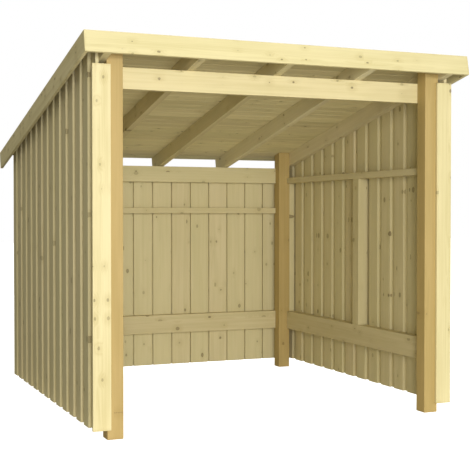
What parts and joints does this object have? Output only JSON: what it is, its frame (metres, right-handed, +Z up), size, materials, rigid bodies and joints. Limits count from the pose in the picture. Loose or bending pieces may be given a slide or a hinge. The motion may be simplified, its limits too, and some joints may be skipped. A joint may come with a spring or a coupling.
{
  "type": "open-fronted timber bike shelter",
  "caption": "Open-fronted timber bike shelter with square posts, board-on-board walls on the sides and back, exposed rafters and a single-pitch roof that falls to the back.",
  "frame": {"origin": "on the ground, under the middle of the roof", "axes": "+Z up, -Y out of the open front, +X to the right as seen from the front"},
  "size_m": [2.5, 2.5799, 2.2804],
  "materials": {
    "post_timber": "planed, pressure-treated, matt",
    "frame_timber": "planed, pressure-treated, matt",
    "cladding_boards": "planed, pressure-treated, matt",
    "trim_boards": "planed, pressure-treated, matt",
    "roof_boards": "planed, pressure-treated, matt"
  },
  "bodies": {
    "root": {"post_front_left": "post_timber", "post_front_right": "post_timber", "post_rear_left": "post_timber", "post_rear_right": "post_timber", "front_beam": "frame_timber", "rear_beam": "frame_timber", "rafter_left": "frame_timber", "rafter_inner_left": "frame_timber", "rafter_middle": "frame_timber", "rafter_inner_right": "frame_timber", "rafter_right": "frame_timber", "left_upper_rail": "frame_timber", "left_lower_rail": "frame_timber", "left_front_stile": "frame_timber", "left_stud": "frame_timber", "left_rear_stile": "frame_timber", "right_upper_rail": "frame_timber", "right_lower_rail": "frame_timber", "right_front_stile": "frame_timber", "right_stud": "frame_timber", "right_rear_stile": "frame_timber", "back_middle_rail": "frame_timber", "back_lower_rail": "frame_timber", "left_wall_cladding": "cladding_boards", "right_wall_cladding": "cladding_boards", "back_wall_cladding": "cladding_boards", "corner_board_left": "trim_boards", "corner_board_right": "trim_boards", "front_fascia": "trim_boards", "barge_board_left": "trim_boards", "barge_board_right": "trim_boards", "roof_boards": "roof_boards"}
  },
  "joints": []
}
